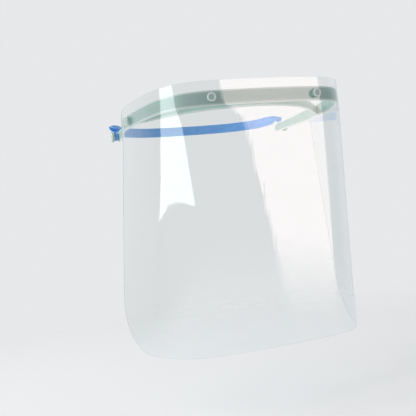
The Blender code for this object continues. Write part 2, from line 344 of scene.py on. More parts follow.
def even_normals(piece):
    """Shade wide faces flat and turn the shading over the narrow rounded ones."""
    weigh = piece.modifiers.new("flat faces stay flat", "WEIGHTED_NORMAL")
    weigh.weight = 60
    weigh.keep_sharp = True


def rounded_section(half_wide, half_high, radius, steps=4):
    """Points (wide, high, share of painted edge highlight) round a rectangle with rounded corners.
    """
    radius = min(radius, half_wide * 0.98, half_high * 0.98)
    reach = half_high - radius
    pale = min(EDGE_HIGHLIGHT_REACH / (2 * reach), 0.2)
    down_face = ((pale, 0.5), (1.6 * pale, 0.0), (0.5, 0.0), (1 - 1.6 * pale, 0.0),
                 (1 - pale, 0.5))
    points = []
    for quarter, (u, v) in enumerate(((1, 1), (-1, 1), (-1, -1), (1, -1))):
        for i in range(steps + 1):
            angle = math.pi / 2 * (quarter + i / steps)
            points.append((u * (half_wide - radius) + radius * math.cos(angle),
                           v * reach + radius * math.sin(angle), 1.0))
        if quarter % 2:
            points += [(u * half_wide, v * reach * (1 - 2 * t), share) for t, share in down_face]
    return points


def section_ring(middle, across, section):
    """A section stood upright at a point, its width along across."""
    return [middle + across * u + Vector((0.0, 0.0, v)) for u, v, _ in section]


def full_turn(count):
    """Angles of even steps round a circle."""
    return [2 * math.pi * k / count for k in range(count)]


def turned(name, profile, base, along, steps=56):
    """The profile (radius, height) spun about a line from base along a direction."""
    bm = bmesh.new()
    edge = bm.verts.layers.float.new("edge")
    rows = []
    top = max(height for _, height in profile)
    for radius, height in profile:
        if radius < 1e-7:
            rows.append([bm.verts.new((0.0, 0.0, height))])
        else:
            rows.append([bm.verts.new((radius * math.cos(a), radius * math.sin(a), height))
                         for a in full_turn(steps)])
        # the outer rim of the end gets the painted highlight
        pale = height > top - RIM_HIGHLIGHT_DEPTH and radius > RIM_HIGHLIGHT_FROM
        for vert in rows[-1]:
            vert[edge] = 1.0 if pale else 0.0
    for low, high in zip(rows, rows[1:]):
        for k in range(steps):
            nxt = (k + 1) % steps
            if len(low) == 1:
                bm.faces.new((low[0], high[k], high[nxt]))
            elif len(high) == 1:
                bm.faces.new((low[k], low[nxt], high[0]))
            else:
                bm.faces.new((low[k], low[nxt], high[nxt], high[k]))
    bmesh.ops.recalc_face_normals(bm, faces=bm.faces)
    turn = Vector(along).to_track_quat("Z", "Y").to_matrix().to_4x4()
    bmesh.ops.transform(bm, matrix=Matrix.Translation(base) @ turn, verts=bm.verts)
    return object_from(bm, name)


def arc(centre_r, centre_h, radius, start, stop, steps=5):
    """Profile points on an arc, angles in degrees from the radial direction."""
    angles = (math.radians(start + (stop - start) * i / steps) for i in range(steps + 1))
    return [(centre_r + radius * math.cos(a), centre_h + radius * math.sin(a)) for a in angles]


# ---- camera, light and floor -----------------------------------------------------------------

def direction(azimuth, elevation):
    """Unit vector; azimuth 0 is in front of the shield and grows towards +X."""
    a, e = math.radians(azimuth), math.radians(elevation)
    return Vector((math.sin(a) * math.cos(e), -math.cos(a) * math.cos(e), math.sin(e)))


def add_camera():
    azimuth, elevation, roll = CAMERA_TURN
    back = direction(azimuth, elevation)
    level = direction(azimuth + 90, 0.0)
    raised = back.cross(level)
    roll = math.radians(roll)
    right = level * math.cos(roll) + raised * math.sin(roll)
    up = raised * math.cos(roll) - level * math.sin(roll)
    data = bpy.data.cameras.new("camera")
    data.sensor_width = 36.0
    data.lens = CAMERA_LENS
    camera = bpy.data.objects.new("camera", data)
    bpy.context.scene.collection.objects.link(camera)
    turn = Matrix((right, up, back)).transposed().to_4x4()
    camera.matrix_world = Matrix.Translation(CAMERA_AT) @ turn
    bpy.context.scene.camera = camera


def add_panel(name, azimuth, elevation, distance, size, power, glossy=True):
    """A rectangular soft light in the direction azimuth, elevation from the shield."""
    away = direction(azimuth, elevation)
    data = bpy.data.lights.new(name, "AREA")
    data.shape = "RECTANGLE"
    data.size, data.size_y = size
    data.energy = power
    lamp = bpy.data.objects.new(name, data)
    bpy.context.scene.collection.objects.link(lamp)
    lamp.rotation_mode = "QUATERNION"
    lamp.rotation_quaternion = away.to_track_quat("Z", "Y")
    lamp.location = LIT_POINT + away * distance
    lamp.visible_glossy = glossy
    lamp.visible_camera = False


def add_card(name, corners, strength, colour):
    """A glowing card that only the gloss of a surface shows."""
    bm = bmesh.new()
    rim = [bm.verts.new(LIT_POINT + direction(*corner) * CARD_DISTANCE) for corner in corners]
    middle = bm.verts.new(sum((vert.co for vert in rim), Vector()) / len(rim))
    for one, other in zip(rim, rim[1:] + rim[:1]):
        bm.faces.new((middle, one, other))
    card = object_from(bm, name)
    material, tree, shader = new_material(name)
    tree.nodes.remove(shader)
    glow = tree.nodes.new("ShaderNodeEmission")
    glow.inputs["Color"].default_value = colour
    glow.inputs["Strength"].default_value = strength
    tree.links.new(glow.outputs[0], tree.nodes["Material Output"].inputs["Surface"])
    card.data.materials.append(material)
    card.visible_camera = card.visible_diffuse = card.visible_transmission = False
    card.visible_shadow = False


def add_world():
    """The camera sees a plain backdrop. What lights the shield is pale behind it and round to
    its left side, and darker in front, as a room is."""
    world = bpy.data.worlds.new("studio")
    bpy.context.scene.world = world
    world.use_nodes = True
    world.node_tree.nodes.clear()
    g = Graph(world.node_tree)
    seen, lights = g.node("Background"), g.node("Background")
    seen.inputs["Color"].default_value = rgba(0.80, 0.81, 0.82)
    leftward, backward = g.split(g.place("Generated"))[:2]
    behind = g.span(g.math("ADD", backward, g.math("MULTIPLY", leftward, 0.5)), 0.15, 0.65)
    g.put(lights.inputs["Color"], g.mix(behind, rgba(0.31, 0.32, 0.33), rgba(0.74, 0.75, 0.76)))
    by_ray = g.mix_shaders(g.node("LightPath").outputs["Is Camera Ray"], lights.outputs[0],
                           seen.outputs[0])
    g.put(g.node("OutputWorld").inputs["Surface"], by_ray)


def add_floor():
    """A pale disc that fades out into the backdrop."""
    bm = bmesh.new()
    bmesh.ops.create_circle(bm, cap_ends=True, segments=96, radius=FLOOR_RADIUS)
    floor = object_from(bm, "floor")
    floor.location.z = FLOOR_Z
    made, tree, shader = new_material("floor")
    g = Graph(tree)
    shader.inputs["Base Color"].default_value = rgba(0.86, 0.865, 0.87)
    shader.inputs["Roughness"].default_value = 0.8
    shader.inputs["Specular IOR Level"].default_value = 0.0
    shader.inputs["Emission Color"].default_value = rgba(1.0, 1.0, 1.0)
    shader.inputs["Emission Strength"].default_value = 0.10
    length = g.node("VectorMath")
    length.operation = "LENGTH"
    g.put(length.inputs[0], g.place())
    fade = g.span(length.outputs["Value"], FLOOR_SOLID, FLOOR_GONE)
    fade.node.interpolation_type = "SMOOTHERSTEP"
    surface = g.mix_shaders(fade, shader.outputs[0], g.node("BsdfTransparent").outputs[0])
    g.put(tree.nodes["Material Output"].inputs["Surface"], surface)
    floor.data.materials.append(made)


# ---- materials -------------------------------------------------------------------------------

def moulded_material(name, colour, deep, edge_highlight_colour, roughness, glow):
    """Milky moulded plastic: cloudy colour, a painted highlight on thin edges and rims, a satin
    skin with fine grain.
    """
    made, tree, shader = new_material(name)
    g = Graph(tree)
    where = g.place()
    # clouds of milkiness and streaks of it along the band, pale flecks, and a painted highlight on
    # the thin edges and rims
    cloud = g.span(g.noise(where, 55.0, 4.0, 0.55), 0.32, 0.68)
    flow = g.span(g.noise(where, 26.0, 3.0, 0.6, stretch=(0.5, 0.5, 9.0)), 0.35, 0.7)
    body = g.mix(g.math("MULTIPLY", cloud, flow), deep, colour)
    fleck = g.span(g.noise(where, 1500.0, 2.0, 0.6), 0.66, 0.74)
    body = g.mix(g.math("MULTIPLY", fleck, 0.18), body, rgba(0.90, 0.95, 0.93))
    # painted highlight on the thin edges and rims, from the "edge" layer
    body = g.mix(g.math("MULTIPLY", g.attribute("edge"), 0.9), body, edge_highlight_colour)
    g.put(shader.inputs["Base Color"], body)
    # a satin skin with fine grain, upright scuffs and slow waves
    g.put(shader.inputs["Roughness"],
          g.span(g.noise(where, 210.0, 4.0, 0.6), 0.3, 0.7, roughness - 0.07, roughness + 0.09))
    scuffs = g.span(g.noise(where, 420.0, 2.0, 0.5, stretch=(1.0, 1.0, 0.12)), 0.60, 0.72)
    skin = g.bump(g.noise(where, 2600.0, 3.0, 0.6), 0.000012)
    skin = g.bump(scuffs, 0.000012, 0.5, onto=skin)
    g.put(shader.inputs["Normal"], g.bump(g.noise(where, 90.0, 2.0), 0.00009, 0.8, onto=skin))
    shader.inputs["IOR"].default_value = 1.49
    shader.inputs["Subsurface Weight"].default_value = glow
    shader.inputs["Subsurface Radius"].default_value = (1.0, 1.25, 1.15)
    shader.inputs["Subsurface Scale"].default_value = 0.0012
    return made


def clear_material():
    """Clear glossy sheet. What it mirrors grows towards grazing angles by Schlick's rule."""
    made, tree, shader = new_material("clear sheet")
    tree.nodes.remove(shader)
    g = Graph(tree)
    facing = g.node("LayerWeight")
    facing.inputs["Blend"].default_value = 0.5
    grazing = g.math("POWER", facing.outputs["Facing"], 5.0)
    mirrored = g.math("ADD", g.math("MULTIPLY", grazing, 0.80), 0.062, clamp=True)
    # the gloss: upright streaks, a fine ripple and a little haze
    uv = g.place("UV")
    streaks = g.noise(uv, 9.0, 2.0, 0.5, stretch=(9.0, 0.7, 1.0))
    ripple = g.bump(streaks, 0.00035, 0.6)
    ripple = g.bump(g.noise(uv, 45.0, 2.0, 0.5), 0.00002, 0.6, onto=ripple)
    haze = g.span(g.noise(uv, 30.0, 2.0, 0.5), 0.35, 0.75, 0.012, 0.045)
    gloss = g.node("BsdfAnisotropic")
    gloss.inputs["Color"].default_value = rgba(0.97, 0.985, 1.0)
    g.put(gloss.inputs["Roughness"], haze)
    g.put(gloss.inputs["Normal"], ripple)
    # the clear body, with faint dust and handling marks
    clear = g.node("BsdfTransparent")
    clear.inputs["Color"].default_value = rgba(0.972, 0.984, 0.982)
    dust = g.span(g.noise(uv, 620.0, 2.0, 0.5), 0.735, 0.78)
    smear = g.span(g.noise(uv, 16.0, 4.0, 0.6, stretch=(1.0, 2.6, 1.0)), 0.52, 0.80)
    film = g.math("ADD", g.math("MULTIPLY", dust, 0.10), g.math("MULTIPLY", smear, 0.014))
    veil = g.node("BsdfDiffuse")
    veil.inputs["Color"].default_value = rgba(0.86, 0.88, 0.89)
    body = g.mix_shaders(film, clear.outputs[0], veil.outputs[0])
    surface = g.mix_shaders(mirrored, body, gloss.outputs[0])
    g.put(tree.nodes["Material Output"].inputs["Surface"], surface)
    return made


def cut_edge_material():
    """The sheet's cut rim, where light that runs inside the sheet comes out."""
    made, tree, shader = new_material("clear sheet cut edge")
    g = Graph(tree)
    uneven = g.span(g.noise(g.place(), 260.0, 3.0, 0.6), 0.3, 0.7)
    g.put(shader.inputs["Base Color"],
          g.mix(uneven, rgba(0.40, 0.47, 0.50), rgba(0.80, 0.87, 0.90)))
    g.put(shader.inputs["Roughness"], g.span(uneven, 0.0, 1.0, 0.18, 0.34))
    shader.inputs["IOR"].default_value = 1.57
    shader.inputs["Alpha"].default_value = 0.62
    return made


def elastic_material(name, colour, painted_valley_shade, light):
    """Woven elastic: lengthwise cords, cross picks between them, painted shade in the weave's
    valleys and a painted highlight on its crowns, soft sheen on the yarn.
    """
    made, tree, shader = new_material(name)
    g = Graph(tree)
    across, along = g.split(g.place("UV"))[:2]
    # the weave's height: cords, and picks that are half a pitch off on every other cord
    cord = g.math("ABSOLUTE", g.math("SINE", g.math("MULTIPLY", across, math.pi / CORD_PITCH)))
    odd = g.math("MODULO", g.math("FLOOR", g.math("DIVIDE", across, CORD_PITCH)), 2.0)
    pick = g.math("MULTIPLY", along, 2 * math.pi / PICK_PITCH)
    pick = g.math("SINE", g.math("ADD", pick, g.math("MULTIPLY", odd, math.pi)))
    pick = g.span(pick, -1.0, 1.0)
    weave = g.math("MULTIPLY", g.math("POWER", cord, 0.6),
                   g.math("ADD", g.math("MULTIPLY", pick, 0.55), 0.45))
    # the yarn's fibres, painted shade in the weave's valleys and a painted highlight on its
    # crowns, and wear
    yarn = g.noise(g.place("UV"), 1.0, 3.0, 0.6, stretch=(5200.0, 1300.0, 1.0))
    shade = g.math("MULTIPLY", weave, g.span(yarn, 0.25, 0.75, 0.72, 1.12))
    # painted shade in the weave's valleys, then a painted highlight on its crowns
    tone = g.mix(g.span(shade, 0.12, 0.75), painted_valley_shade, colour)
    tone = g.mix(g.math("MULTIPLY", g.span(weave, 0.72, 1.0), 0.42), tone, light)
    wear = g.span(g.noise(g.place(), 130.0, 3.0, 0.6), 0.42, 0.72)
    tone = g.mix(g.math("MULTIPLY", wear, 0.16), tone, light)
    g.put(shader.inputs["Base Color"], tone)
    g.put(shader.inputs["Roughness"], g.span(yarn, 0.2, 0.8, 0.46, 0.66))
    weave_bump = g.bump(weave, 0.00016, 0.9)
    g.put(shader.inputs["Normal"], g.bump(yarn, 0.00003, 0.6, onto=weave_bump))
    shader.inputs["Sheen Weight"].default_value = 0.26
    shader.inputs["Sheen Roughness"].default_value = 0.4
    shader.inputs["Sheen Tint"].default_value = rgba(0.45, 0.75, 1.0)
    shader.inputs["Specular IOR Level"].default_value = 0.28
    return made


# ---- the plan line ---------------------------------------------------------------------------

def running_sum(rate):
    return np.concatenate([[0.0], np.cumsum((rate[1:] + rate[:-1]) / 2) * PLAN_STEP])


def plan_line(bend_kept=1.0):
    """Arc lengths, x, y and headings along the left half of the plan line."""
    arcs = np.arange(0.0, ARM_END + PLAN_STEP, PLAN_STEP)
    corner = np.exp(-(((arcs - CORNER_ARC) / CORNER_SPREAD) ** 2))
    heading = running_sum((SIDE_BEND + CORNER_BEND * corner) * bend_kept)
    return arcs, running_sum(np.cos(heading)), FRONT_Y + running_sum(np.sin(heading)), heading


PLAN = plan_line()


def plan_point(line, at, out=0.0):
    """Point at a signed arc length, moved out along the normal, and that outward normal."""
    arcs, xs, ys, headings = line
    side = math.copysign(1.0, at)
    x, y, heading = (float(np.interp(abs(at), arcs, row)) for row in (xs, ys, headings))
    normal = Vector((side * math.sin(heading), -math.cos(heading), 0.0))
    return Vector((side * x, y, 0.0)) + normal * out, normal


def smooth_step(value, start, stop):
    share = min(max((value - start) / (stop - start), 0.0), 1.0)
    return share * share * (3 - 2 * share)


def corner_trim(at, end, radius):
    """What a rounded corner takes off at a place, where the straight ends at end."""
    into = abs(at) - (end - radius)
    return radius - math.sqrt(max(radius**2 - into**2, 0.0)) if into > 0 else 0.0


# ---- head frame ------------------------------------------------------------------------------

def band_point(at):
    inset = ARM_INSET * smooth_step(abs(at), ARM_BEND_FROM, ARM_BEND_TO)
    return plan_point(PLAN, at, -inset)[0]


def outer_band_rings():
    """Sections of the long outer strip: visor band and both arms in one moulding."""
    half = list(np.linspace(0.0, ARM_END - ARM_END_RADIUS, BAND_STEPS))
    half += [ARM_END - ARM_END_RADIUS * (1 - math.sin(math.pi / 2 * i / ARM_END_STEPS))
             for i in range(1, ARM_END_STEPS + 1)]
    rings = []
    for at in [-a for a in half[:0:-1]] + half:
        ahead = (band_point(min(at + TANGENT_STEP, ARM_END))
                 - band_point(max(at - TANGENT_STEP, -ARM_END)))
        outward = Vector((ahead.y, -ahead.x, 0.0)).normalized()
        back = smooth_step(abs(at), ARM_BEND_FROM, ARM_BEND_TO)
        high = BAND_HEIGHT / 2 + (ARM_END_HEIGHT - BAND_HEIGHT) / 2 * back
        high -= corner_trim(at, ARM_END, ARM_END_RADIUS)
        middle = band_point(at) - outward * (BAND_THICK / 2) + Vector((0.0, 0.0, -ARM_DROP * back))
        rings.append(section_ring(middle, outward,
                                  rounded_section(BAND_THICK / 2, high, EDGE_ROUND)))
    return rings


def moulded_strip(name, rings, thick, high, nodes, material):
    """A piece of the head frame from its rings, which all have the same points."""
    # each ring point's share of the painted edge highlight
    edge_highlight_shares = [share for _, _, share in rounded_section(thick / 2, high / 2, EDGE_ROUND)]
    piece = loft(name, rings, edges=edge_highlight_shares)
    even_normals(piece)
    finish_piece(piece, material, "frame", nodes)


def outer_band(material):
    moulded_strip("outer_band", outer_band_rings(), BAND_THICK, BAND_HEIGHT,
                  ("visor_band", "right_arm", "left_arm"), material)


def forehead_point(at):
    turn = min(abs(at) / FOREHEAD_RADIUS, FOREHEAD_TURN)
    flank = max(abs(at) - FOREHEAD_RADIUS * FOREHEAD_TURN, 0.0)
    x = FOREHEAD_RADIUS * math.sin(turn) + flank * math.cos(turn)
    y = FOREHEAD_RADIUS * (1 - math.cos(turn)) + flank * math.sin(turn)
    return Vector((math.copysign(x, at), FRONT_Y + FOREHEAD_BEHIND + y, 0.0))


def bezier(a, b, c, d, t):
    s = 1 - t
    return a * s**3 + b * (3 * s * s * t) + c * (3 * s * t * t) + d * t**3


def forehead_rails():
    """Front and back rails of the left half: round the forehead, straight on towards the outer
    band, and out onto it in fillets."""
    along = Vector((math.cos(FOREHEAD_TURN), math.sin(FOREHEAD_TURN), 0.0))
    inward = Vector((-along.y, along.x, 0.0))
    bend_end = FOREHEAD_RADIUS * FOREHEAD_TURN
    corner = forehead_point(bend_end)
    wall = [plan_point(PLAN, a, -BAND_THICK + WALL_SINK)[0]
            for a in np.linspace(WALL_FROM, WALL_TO, WALL_POINTS)]
    middle = corner + inward * (FOREHEAD_THICK / 2)
    crossing = min(range(len(wall)), key=lambda k: abs((wall[k] - middle).dot(inward)))
    reach = (wall[crossing] - middle).dot(along) - FILLET_STARTS
    front, back = [], []
    for at in np.linspace(0.0, bend_end, FOREHEAD_STEPS):
        turn = at / FOREHEAD_RADIUS
        normal = Vector((-math.sin(turn), math.cos(turn), 0.0))
        front.append(forehead_point(at))
        back.append(front[-1] + normal * FOREHEAD_THICK)
    for k in range(1, STRAIGHT_STEPS + 1):
        front.append(corner + along * (reach * k / STRAIGHT_STEPS))
        back.append(front[-1] + inward * FOREHEAD_THICK)
    wall_step = (WALL_TO - WALL_FROM) / (WALL_POINTS - 1)
    for rail, (shift, pull) in ((front, FRONT_FILLET), (back, BACK_FILLET)):
        start, end = rail[-1], wall[crossing + round(shift / wall_step)]
        tangent = (wall[crossing] - end).normalized()
        handles = start + along * pull, end + tangent * abs(shift) * FILLET_END_PULL
        rail += [bezier(start, *handles, end, k / FILLET_STEPS)
                 for k in range(1, FILLET_STEPS + 1)]
    return front, back


def forehead_rest(material):
    front, back = forehead_rails()
    rails = [(Vector((-f.x, f.y, 0.0)), Vector((-b.x, b.y, 0.0)))
             for f, b in zip(front[:0:-1], back[:0:-1])] + list(zip(front, back))
    rings = []
    for f, b in rails:
        section = rounded_section((b - f).length / 2, FOREHEAD_HEIGHT / 2, EDGE_ROUND)
        rings.append(section_ring((f + b) / 2, (f - b).normalized(), section))
    moulded_strip("forehead_rest", rings, FOREHEAD_THICK, FOREHEAD_HEIGHT,
                  ("forehead_band",), material)


def stud(side, word, kind, material):
    """Stud: a fillet at its foot, a rounded ring-shaped end and a shallow dish in it."""
    base, normal = plan_point(PLAN, side * STUD_ARCS[kind])
    top = STUD_LENGTH + GAP
    neck = STUD_RADIUS - STUD_NECK_IN
    profile = [(0.0, top - STUD_DISH_MIDDLE), (STUD_DISH_FLAT, top - STUD_DISH_LOW)]
    profile += arc(STUD_DISH - STUD_DISH_ROUND, top - STUD_DISH_LIP, STUD_DISH_ROUND, -90, 0, 4)
    profile += arc(STUD_DISH + STUD_DISH_LIP, top - STUD_DISH_LIP, STUD_DISH_LIP, 180, 90, 3)[1:]
    profile += arc(STUD_RADIUS - STUD_LIP, top - STUD_LIP, STUD_LIP, 90, 0)
    profile += [(STUD_RADIUS, top - STUD_HEAD), (neck, top - STUD_NECK), (neck, STUD_FOOT)]
    profile += arc(neck + STUD_FOOT, STUD_FOOT, STUD_FOOT, 180, FOOT_SWEEP)[1:]
    profile += [(neck + STUD_FOOT, -ROOT), (0.0, -ROOT)]
    piece = turned(f"{word}_{kind}_stud_ring", profile[::-1], base, normal)
    finish_piece(piece, material, "frame", (f"{word}_{kind}_stud",))


def knob_x():
    """Where the arm's outer face is, at the knob."""
    points = [band_point(a) for a in np.linspace(ARM_BEND_TO, ARM_END, 50)]
    return float(np.interp(KNOB_Y, [p.y for p in points], [p.x for p in points]))


def strap_knob(side, word, material):
    """Button-shaped knob: filleted stem, rolled rim and a shallow dish in its face."""
    under = KNOB_STEM_LENGTH + GAP
    top = KNOB_STEM_LENGTH + KNOB_THICK + GAP
    profile = [(radius, top - depth) for radius, depth in KNOB_DISH]
    profile += arc(KNOB_RADIUS - KNOB_RIM, top - KNOB_RIM, KNOB_RIM, 90, 0, 7)
    profile += arc(KNOB_RADIUS - KNOB_BACK_RIM, under + KNOB_BACK_RIM, KNOB_BACK_RIM, 0, -90, 6)
    profile += arc(KNOB_STEM_RADIUS + KNOB_UNDER, under - KNOB_UNDER, KNOB_UNDER, 90, 180, 3)
    profile += arc(KNOB_STEM_RADIUS + KNOB_FOOT, KNOB_FOOT, KNOB_FOOT, 180, FOOT_SWEEP)
    profile += [(KNOB_STEM_RADIUS + KNOB_FOOT, -ROOT), (0.0, -ROOT)]
    base = (side * knob_x(), KNOB_Y, KNOB_Z)
    piece = turned(f"{word}_button_knob", profile[::-1], base, (side, 0.0, 0.0))
    finish_piece(piece, material, "frame", (f"{word}_strap_knob",))


def gate_mark(material):
    """Trimmed gate of the moulding: a tiny disc low on the front middle of the band."""
    base, normal = plan_point(PLAN, GATE_ARC)
    profile = [(0.0, 0.00010), (0.0004, 0.00016)]
    profile += arc(GATE_RADIUS - GATE_EDGE, 0.00006, GATE_EDGE, 80, 0, 3)
    profile += [(GATE_RADIUS, -GATE_ROOT), (0.0, -GATE_ROOT)]
    piece = turned("gate_mark", profile[::-1], base + Vector((0.0, 0.0, GATE_Z)), normal, 28)
    finish_piece(piece, material, "frame", ())


# ---- visor -----------------------------------------------------------------------------------

def lean_share(height):
    """0 along the band, 1 at the bottom edge, with a soft start to the lean."""
    def ramp(depth):
        into = depth - LEAN_FROM
        return (into + math.sqrt(into * into + LEAN_SOFT**2)) / 2
    still = ramp(BAND_HEIGHT / 2)
    full = ramp(VISOR_HEIGHT - VISOR_TOP)
    return max(ramp(-height) - still, 0.0) / (full - still)


def sheet_outline():
    """The flat sheet's outline (arc, height), anticlockwise, with rounded corners."""
    low = VISOR_TOP - VISOR_HEIGHT
    points = []

    def run(start, stop):
        count = max(int((Vector(stop) - Vector(start)).length / SHEET_STEP), 1)
        points.extend(Vector(start).lerp(Vector(stop), k / count) for k in range(count))

    def corner(centre, radius, start, count):
        for k in range(count):
            angle = math.radians(start + 90 * k / count)
            points.append(Vector((centre[0] + radius * math.cos(angle),
                                  centre[1] + radius * math.sin(angle))))
    w, b, t = VISOR_HALF_WIDTH, BOTTOM_CORNER, TOP_CORNER
    run((-w + b, low), (w - b, low))
    corner((w - b, low + b), b, -90, BOTTOM_CORNER_STEPS)
    run((w, low + b), (w, VISOR_TOP - t))
    corner((w - t, VISOR_TOP - t), t, 0, TOP_CORNER_STEPS)
    run((w - t, VISOR_TOP), (-w + t, VISOR_TOP))
    corner((-w + t, VISOR_TOP - t), t, 90, TOP_CORNER_STEPS)
    run((-w, VISOR_TOP - t), (-w, low + b))
    corner((-w + b, low + b), b, 180, BOTTOM_CORNER_STEPS)
    return points


def flat_sheet():
    """Triangulated flat sheet with its punched holes: points (arc, height) and triangles."""
    loops, holes = [sheet_outline()], []
    for side, _ in SIDES:
        for at in STUD_ARCS.values():
            centre = Vector((side * at, 0.0))
            holes.append(centre)
            for radius, count in ((VISOR_HOLE_RADIUS, HOLE_STEPS),
                                  (VISOR_HOLE_RADIUS + HOLE_RING, HOLE_RING_STEPS)):
                loops.append([centre + Vector((math.cos(a), math.sin(a))) * radius
                              for a in full_turn(count)])
    points, edges = [], []
    for loop in loops:
        first = len(points)
        points += loop
        edges += [(first + k, first + (k + 1) % len(loop)) for k in range(len(loop))]

    def from_hole(place):
        return min((place - centre).length for centre in holes)
    w, low = VISOR_HALF_WIDTH, VISOR_TOP - VISOR_HEIGHT
    columns = int(2 * w / SHEET_STEP)
    rows = int(VISOR_HEIGHT / SHEET_ROW_STEP)
    for i in range(1, columns):
        for j in range(1, rows):
            at = Vector((-w + 2 * w * i / columns, low + VISOR_HEIGHT * j / rows))
            bottom = low + corner_trim(at.x, w, BOTTOM_CORNER)
            top = VISOR_TOP - corner_trim(at.x, w, TOP_CORNER)
            if (bottom + SHEET_MARGIN <= at.y <= top - SHEET_MARGIN
                    and from_hole(at) >= VISOR_HOLE_RADIUS + HOLE_MARGIN):
                points.append(at)
    scale = 1000.0              # the triangulation works in millimetres
    result = delaunay_2d_cdt([p * scale for p in points], edges, [], 1, 1e-5)
    flat = [v / scale for v in result[0]]
    kept = []
    for face in result[2]:
        middle = sum((flat[k] for k in face), Vector((0.0, 0.0))) / len(face)
        if from_hole(middle) > VISOR_HOLE_RADIUS * 0.985:   # not a face across a hole
            kept.append(tuple(face))
    return flat, kept


def bent_sheet(flat):
    """Points of the worn sheet's inner skin, and the outward normal at each."""
    lines = {}

    def skin(at, height):
        share = lean_share(height)
        key = round(share, 5)
        if key not in lines:
            lines[key] = plan_line(1 - BOTTOM_OPENS * share)
        lean = Vector((0.0, BOTTOM_BACK * share, height))
        return plan_point(lines[key], at or 1e-9, GAP)[0] + lean
    inner, normals = [], []
    for at, height in flat:
        inner.append(skin(at, height))
        across = skin(at + NORMAL_STEP, height) - skin(at - NORMAL_STEP, height)
        up = skin(at, height + NORMAL_STEP) - skin(at, height - NORMAL_STEP)
        normals.append(across.cross(up).normalized())
    return inner, normals


def visor_sheet(clear, cut):
    """The sheet as one closed piece: an outer skin, an inner one and the cut edge between."""
    flat, faces = flat_sheet()
    inner, normals = bent_sheet(flat)
    outer = [p + n * SHEET_THICK for p, n in zip(inner, normals)]
    a, b, c = (outer[k] for k in faces[0])
    if (b - a).cross(c - a).dot(normals[faces[0][0]]) < 0:
        faces = [face[::-1] for face in faces]
    count = len(flat)
    polygons = [tuple(k + count for k in face) for face in faces]
    edges = dict.fromkeys((p[i], p[(i + 1) % 3]) for p in polygons for i in range(3))
    polygons += [face[::-1] for face in faces]
    skin_faces = len(polygons)
    polygons += [(b, a, a - count, b - count) for a, b in edges if (b, a) not in edges]
    mesh = bpy.data.meshes.new("visor_sheet")
    mesh.from_pydata([tuple(p) for p in inner + outer], [], polygons)
    mesh.update()
    uv = mesh.uv_layers.new(name="metres")
    loop_normals = []
    for polygon in mesh.polygons:
        on_skin = polygon.index < skin_faces
        polygon.material_index = 0 if on_skin else 1
        for loop in polygon.loop_indices:
            vert = mesh.loops[loop].vertex_index
            uv.data[loop].uv = tuple(flat[vert % count])
            if on_skin:
                loop_normals.append(normals[vert % count] * (1 if vert >= count else -1))
            else:
                loop_normals.append(polygon.normal.copy())
    piece = bpy.data.objects.new("visor_sheet", mesh)
    bpy.context.scene.collection.objects.link(piece)
    mesh.materials.append(clear)
    mesh.materials.append(cut)
    mesh.shade_smooth()
    mesh.normals_split_custom_set(loop_normals)
    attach(piece, "frame")
    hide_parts("visor")


# ---- strap -----------------------------------------------------------------------------------

def loop_x():
    """Where the middle of the strap's sewn end is, along the knob's stem."""
    return knob_x() + GAP + KNOB_STEM_LENGTH / 2


def strap_route():
    """Route points of the strap's left half, from the knob's stem to the back middle."""
    leave = Vector((0.0, math.cos(STRAP_LEAVES), math.sin(STRAP_LEAVES)))
    stem = Vector((loop_x(), KNOB_Y, KNOB_Z))
    points = [stem + leave * (LOOP_RADIUS + GAP), stem + leave * STRAP_TURNS_AT]
    return points + [Vector(point) for point in STRAP_PATH]


def spline_point(points, at):
    index = min(int(at), len(points) - 2)
    t = at - index
    before = points[index - 1] if index else points[0] * 2 - points[1]
    after = points[index + 2] if index + 2 < len(points) else points[-1] * 2 - points[-2]
    a, b = points[index], points[index + 1]
    slope_a, slope_b = (b - before) / 2, (after - a) / 2
    return (a * (2 * t**3 - 3 * t**2 + 1) + slope_a * (t**3 - 2 * t**2 + t)
            + b * (3 * t**2 - 2 * t**3) + slope_b * (t**3 - t**2))


def strap_frames():
    """Frames along the strap, right to left: centre, across, through, how fanned out it is
    and the length so far."""
    half = strap_route()
    route = [Vector((-p.x, p.y, p.z)) for p in half] + half[-2::-1]
    last = len(route) - 1
    frames, so_far, before = [], 0.0, None
    for i in range(STRAP_SECTIONS + 1):
        at = last * i / STRAP_SECTIONS
        centre = spline_point(route, at)
        ahead = spline_point(route, min(at + 0.01, last)) - spline_point(route, max(at - 0.01, 0))
        ahead.normalize()
        from_end = min(at, last - at)
        fanned = min(max((from_end - FAN_FROM) / (FAN_TO - FAN_FROM), 0.0), 1.0)
        upright = smooth_step(from_end, TWIST_FROM, TWIST_TO)
        side = 1.0 if at > last / 2 else -1.0
        across = Vector((side, 0.0, 0.0)).lerp(Vector((0.0, 0.0, 1.0)), upright)
        across = (across - ahead * across.dot(ahead)).normalized()
        through = ahead.cross(across)
        so_far += (centre - before).length if before else 0.0
        before = centre
        frames.append((centre, across, through, fanned, so_far))
    return frames


def strap_point(frame_at, u, lift):
    """Point at a share u of the strap's half width, lifted off its gathered middle surface."""
    centre, across, through, fanned = frame_at[:4]
    width = LOOP_WIDTH + (STRAP_WIDTH - LOOP_WIDTH) * fanned
    gather = GATHER_DEPTH * (1 - fanned) ** 1.5 * math.cos(math.pi * GATHERS * u)
    return centre + across * (width / 2 * u) + through * (lift + gather)


def weave_place(u, length):
    return (u * STRAP_WIDTH / 2 + WEAVE_SHIFT, length)


